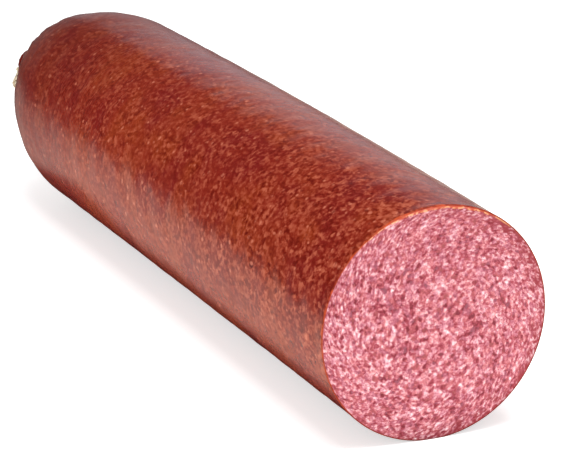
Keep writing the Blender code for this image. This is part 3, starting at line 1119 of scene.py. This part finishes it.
@dataclass
class TwineTie:
    """The twine that binds the neck, and its knot: three thin strands laid round each other."""

    form: LogForm
    radius: float = 0.85 * MILLIMETRE
    strands: int = 3
    lay: float = 3.4 * MILLIMETRE
    turns: int = 4
    pitch: float = 2.0 * MILLIMETRE
    clearance: float = 0.3 * MILLIMETRE
    knot_size: float = 1.15 * MILLIMETRE
    knot_opening: float = 0.085
    knot_end: float = 6.0 * MILLIMETRE
    end_lift: float = 0.35
    step: float = 0.3 * MILLIMETRE

    def build(self) -> list[bpy.types.Object]:
        """Models the binding and the knot and dresses them."""
        material = TwineFinish().material()
        binding = self._lay_up("twine_turns", self._binding_route())
        dress(binding, material, Slot.TWINE, "twine_binding")
        knot = self._lay_up("twine_overhand", self._knot_route())
        dress(knot, material, Slot.TWINE, "twine_knot")
        return [binding, knot]

    @property
    def middle(self) -> Vector:
        """The middle of the tie."""
        return self.form.tie_top + self.form.tie_height / 2.0 * TIE_AXIS

    @property
    def outward(self) -> Vector:
        """The way from the tie's axis away from the log."""
        return (LOG_AXIS - LOG_AXIS.dot(TIE_AXIS) * TIE_AXIS).normalized()

    def _binding_route(self) -> list[Vector]:
        """Returns the points of the turns round the neck."""
        reach = self.form.neck_radius + self.clearance + self.radius
        sideways = TIE_AXIS.cross(self.outward)
        count = round(self.turns * math.tau * reach / self.step)
        points = []
        for number in range(count + 1):
            turn = self.turns * math.tau * number / count
            height = self.pitch * self.turns * (number / count - 0.5)
            arm = math.cos(turn) * self.outward + math.sin(turn) * sideways
            points.append(self.middle + height * TIE_AXIS + reach * arm)
        return points

    def _knot_route(self) -> list[Vector]:
        """Returns the points of the overhand knot and its two cut ends."""
        form = self.form
        sideways = TIE_AXIS.cross(self.outward)
        stand_off = form.neck_radius + 2.0 * self.clearance + 3.0 * self.radius + self.knot_size
        heart = self.middle + stand_off * self.outward
        points = []
        count = 120
        for number in range(count + 1):
            angle = math.tau * (self.knot_opening + (1.0 - 2.0 * self.knot_opening) * number / count)
            across = math.sin(angle) + 2.0 * math.sin(2.0 * angle)
            along = math.cos(angle) - 2.0 * math.cos(2.0 * angle)
            over = -math.sin(3.0 * angle)
            points.append(heart + self.knot_size * (across * sideways + along * TIE_AXIS + over * self.outward))
        first = self._cut_end(points[0], points[0] - points[1])
        last = self._cut_end(points[-1], points[-1] - points[-2])
        return first[::-1] + points + last

    def _cut_end(self, start: Vector, way: Vector) -> list[Vector]:
        """Returns the points of a short cut end that lifts away from the turns."""
        way = way.normalized()
        count = round(self.knot_end / self.step)
        steps = [number / count for number in range(1, count + 1)]
        return [start + self.knot_end * (step * way + self.end_lift * step**2 * self.outward) for step in steps]

    def _lay_up(self, name: str, route: Sequence[Vector]) -> bpy.types.Object:
        """Lays the strands round each other along a route and joins them.

        Args:
            name: The piece's name.
            route: Points along the middle of the twine.

        Returns:
            The twine as one mesh.
        """
        thin = self.radius / (1.0 + 2.0 / math.sqrt(3.0)) * 1.06
        offset = self.radius - thin
        frames = list(carried_frames(route))
        travelled = 0.0
        paths = [[] for _ in range(self.strands)]
        for number, (point, first, second) in enumerate(frames):
            if number:
                travelled += (point - frames[number - 1][0]).length
            for strand, path in enumerate(paths):
                turn = math.tau * (travelled / self.lay + strand / self.strands)
                path.append(point + offset * (math.cos(turn) * first + math.sin(turn) * second))
        parts = [add_strand(f"{name}_{number}", path, thin) for number, path in enumerate(paths)]
        pick_only(parts[0])
        for part in parts[1:]:
            part.select_set(True)
        bpy.ops.object.join()
        piece = bpy.context.object
        piece.name = name
        bpy.ops.object.shade_smooth()
        return piece


def carried_frames(route: Sequence[Vector]) -> Iterator[tuple[Vector, Vector, Vector]]:
    """Yields each point of a route with two directions square to it that don't spin along it."""
    first = None
    for number, point in enumerate(route):
        before = route[max(0, number - 1)]
        after = route[min(len(route) - 1, number + 1)]
        way = (after - before).normalized()
        if first is None:
            first = way.orthogonal().normalized()
        first = (first - first.dot(way) * way).normalized()
        yield point, first, way.cross(first)


# ---------------------------------------------------------------------------
# The studio
# ---------------------------------------------------------------------------
@dataclass(frozen=True)
class Panel:
    """One soft light panel that faces the log."""

    name: str
    place: tuple[float, float, float]
    width: float
    height: float
    power: float
    colour: tuple[float, float, float] = (1.0, 1.0, 1.0)
    gloss_only: bool = False

    def hang(self, aim: Vector) -> None:
        """Hangs the panel and turns it to the point that it lights."""
        lamp = bpy.data.lights.new(self.name, "AREA")
        lamp.shape = "RECTANGLE"
        lamp.size, lamp.size_y = self.width, self.height
        lamp.energy = self.power
        lamp.color = self.colour
        stand = bpy.data.objects.new(self.name, lamp)
        stand.location = self.place
        stand.rotation_euler = (aim - Vector(self.place)).to_track_quat("-Z", "Y").to_euler()
        stand.visible_camera = False
        stand.visible_diffuse = not self.gloss_only
        bpy.context.scene.collection.objects.link(stand)


@dataclass(frozen=True)
class Studio:
    """A pale floor, soft light and the camera."""

    form: LogForm
    azimuth: float = 65.91
    elevation: float = 17.23
    distance: float = 0.9152
    side_step: float = 0.017396
    rise: float = -0.011941
    lens: float = 177.98
    sensor: float = 36.0
    floor_radius: float = 0.55
    floor_glow: float = 1.5
    reflected_floor_glow: float = 0.12
    floor_lift: float = 0.60
    panels: tuple[Panel, ...] = (
        Panel("overhead", (0.16, 0.0, 0.62), 0.45, 0.5, 3.8),
        Panel("front", (1.09, -0.86, 0.53), 0.8, 0.8, 4.3),
        Panel("back_left", (-1.6, 1.1, 0.45), 1.6, 0.9, 3.2, (0.88, 0.94, 1.0)),
        Panel("left", (-1.85, 0.10, 0.22), 0.8, 0.44, 0.42, (1.0, 0.95, 0.93), gloss_only=True),
    )
    flags: tuple[tuple[Flat, Flat], ...] = (
        ((0.19, -0.055), (0.05, -0.13)),
        ((0.05, -0.13), (-0.60, -0.25)),
    )
    flag_height: float = 0.35

    @property
    def aim(self) -> Vector:
        """The middle of the log."""
        return self.form.face + LOG_AXIS * self.form.length / 2.0

    def build(self) -> None:
        """Sets up the floor, the light, the surroundings and the camera."""
        self._lay_floor()
        for number, (near, far) in enumerate(self.flags, start=1):
            self._stand_flag(f"flag_{number}", near, far)
        for panel in self.panels:
            panel.hang(self.aim)
        self._surround()
        self._place_camera()
        bpy.context.scene.view_settings.view_transform = "Standard"

    def _lay_floor(self) -> None:
        """Lays a pale floor that glows to light the log from below; in reflections it is warmer, glows a little more
        away from the log, and carries a painted shadow beside the log.
        """
        pick_only()
        bpy.ops.mesh.primitive_circle_add(
            vertices=96, radius=self.floor_radius, fill_type="NGON", location=(0.0, 0.0, self.form.low.z)
        )
        floor = bpy.context.object
        floor.name = "floor"
        material, graph, surface = new_material("pale_floor")
        surface.inputs["Roughness"].default_value = 0.9
        surface.inputs["Specular IOR Level"].default_value = 0.1
        surface.inputs["Emission Color"].default_value = (1.0, 1.0, 1.0, 1.0)
        ray = graph.add("ShaderNodeLightPath")
        place = graph.add("ShaderNodeTexCoord").outputs["Object"]
        beside = graph.length(graph.vector("MULTIPLY", place, (0.0, 1.0, 0.0)))
        far_end = graph.dot(place, LOG_AXIS)
        # Painted shadow, seen only in reflections: the floor is darkened close beside the log and round its far end.
        flare = graph.fade(far_end, 0.02, 0.10, 0.0, 0.35 * self.form.radius)
        flare = graph.math("MULTIPLY", flare, graph.fade(far_end, 0.10, 0.145, 1.0, 0.15))
        clear = graph.math("SUBTRACT", beside, flare)
        unshadowed_floor = graph.fade(clear, 0.68 * self.form.radius, 0.98 * self.form.radius, 0.06, 1.0)
        beneath = graph.math("MULTIPLY_ADD", graph.math("SUBTRACT", unshadowed_floor, 1.0), ray.outputs["Is Glossy Ray"])
        beneath.node.inputs[2].default_value = 1.0
        # Painted reflection: the floor is warmer in reflections.
        shade = graph.blend(ray.outputs["Is Glossy Ray"], (0.86, 0.86, 0.86, 1.0), (0.89, 0.82, 0.71, 1.0))
        pale = graph.scaled(shade, beneath)
        graph.tree.links.new(pale, surface.inputs["Base Color"])
        glow = graph.fade(beside, 0.85 * self.form.radius, 1.7 * self.form.radius, 0.0, self.floor_glow)
        glow = graph.math("MULTIPLY", glow, graph.fade(far_end, -0.10, 0.25, 1.0, 1.7))
        glow = graph.math("MAXIMUM", glow, graph.fade(far_end, -0.163, -0.157, 1.5, 0.0))
        bounce = graph.math("MULTIPLY", glow, ray.outputs["Is Diffuse Ray"])
        lift = graph.math("MULTIPLY", ray.outputs["Is Camera Ray"], self.floor_lift)
        # Painted reflection: away from the log, the floor glows a little more in reflections only.
        sheen = graph.math("MULTIPLY", ray.outputs["Is Glossy Ray"], self.reflected_floor_glow)
        sheen = graph.math("MULTIPLY", sheen, unshadowed_floor)
        strength = graph.math("ADD", graph.math("ADD", bounce, lift), sheen)
        graph.tree.links.new(strength, surface.inputs["Emission Strength"])
        floor.data.materials.append(material)

    def _stand_flag(self, name: str, near: Flat, far: Flat) -> None:
        """Stands a dark card beside the log, which only its gloss can see.

        Args:
            name: The card's name.
            near: Where its foot starts on the floor.
            far: Where its foot ends.
        """
        pick_only()
        bpy.ops.mesh.primitive_plane_add(size=1.0)
        flag = bpy.context.object
        flag.name = name
        flag.scale = (math.dist(near, far), self.flag_height, 1.0)
        flag.rotation_euler = (math.pi / 2.0, 0.0, math.atan2(near[1] - far[1], near[0] - far[0]))
        flag.location = ((near[0] + far[0]) / 2.0, (near[1] + far[1]) / 2.0, self.flag_height / 2.0)
        settle_place(flag)
        material, _, surface = new_material("dark_flag")
        surface.inputs["Base Color"].default_value = (0.02, 0.02, 0.02, 1.0)
        surface.inputs["Roughness"].default_value = 1.0
        surface.inputs["Specular IOR Level"].default_value = 0.0
        flag.data.materials.append(material)
        flag.visible_camera = False
        flag.visible_diffuse = False
        flag.visible_shadow = False
        flag.visible_transmission = False

    def _surround(self) -> None:
        """Makes the surroundings white to look at, soft as light and dark in reflections."""
        world = bpy.data.worlds.new("studio")
        world.use_nodes = True
        bpy.context.scene.world = world
        graph = Graph(world.node_tree)
        world.node_tree.nodes.clear()
        ray = graph.add("ShaderNodeLightPath")
        soft = graph.add("ShaderNodeBackground", {"Color": (1.0, 1.0, 1.0, 1.0), "Strength": 0.42})
        dim = graph.add("ShaderNodeBackground", {"Color": (1.0, 1.0, 1.0, 1.0), "Strength": 0.05})
        white = graph.add("ShaderNodeBackground", {"Color": (1.0, 1.0, 1.0, 1.0), "Strength": 1.0})
        lit = graph.add("ShaderNodeMixShader", {0: ray.outputs["Is Glossy Ray"]})
        graph.tree.links.new(soft.outputs[0], lit.inputs[1])
        graph.tree.links.new(dim.outputs[0], lit.inputs[2])
        seen = graph.add("ShaderNodeMixShader", {0: ray.outputs["Is Camera Ray"]})
        graph.tree.links.new(lit.outputs[0], seen.inputs[1])
        graph.tree.links.new(white.outputs[0], seen.inputs[2])
        graph.add("ShaderNodeOutputWorld", {"Surface": seen.outputs[0]})

    def _place_camera(self) -> None:
        """Places the camera at its bearing, distance and height from the log's middle."""
        turn, tilt = math.radians(self.azimuth), math.radians(self.elevation)
        back = Vector((math.sin(turn) * math.cos(tilt), -math.cos(turn) * math.cos(tilt), math.sin(tilt)))
        right = Vector((math.cos(turn), math.sin(turn), 0.0))
        up = back.cross(right)
        data = bpy.data.cameras.new("camera")
        data.lens = self.lens
        data.sensor_width = self.sensor
        data.dof.use_dof = False
        camera = bpy.data.objects.new("camera", data)
        camera.location = self.aim + back * self.distance + right * self.side_step + up * self.rise
        camera.rotation_euler = (-back).to_track_quat("-Z", "Y").to_euler()
        bpy.context.scene.collection.objects.link(camera)
        bpy.context.scene.camera = camera


def main() -> None:
    """Builds every piece in order and reports it."""
    logging.basicConfig(level=logging.INFO, format="%(name)s: %(message)s")
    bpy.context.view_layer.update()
    form = LogForm(*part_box("sausage"))
    log.info("radius %.2f mm, length %.1f mm", form.radius / MILLIMETRE, form.length / MILLIMETRE)
    CutMeat(form, MeatGrain(wander=0.22 * MILLIMETRE, fat_rarity=0.70)).build()
    Casing(form, MeatGrain(1.4 * MILLIMETRE, 0.85 * MILLIMETRE, 2.1 * MILLIMETRE, fat_rarity=0.76)).build()
    CasingTail(form).build()
    TwineTie(form).build()
    Studio(form).build()


if __name__ == "__main__":
    main()
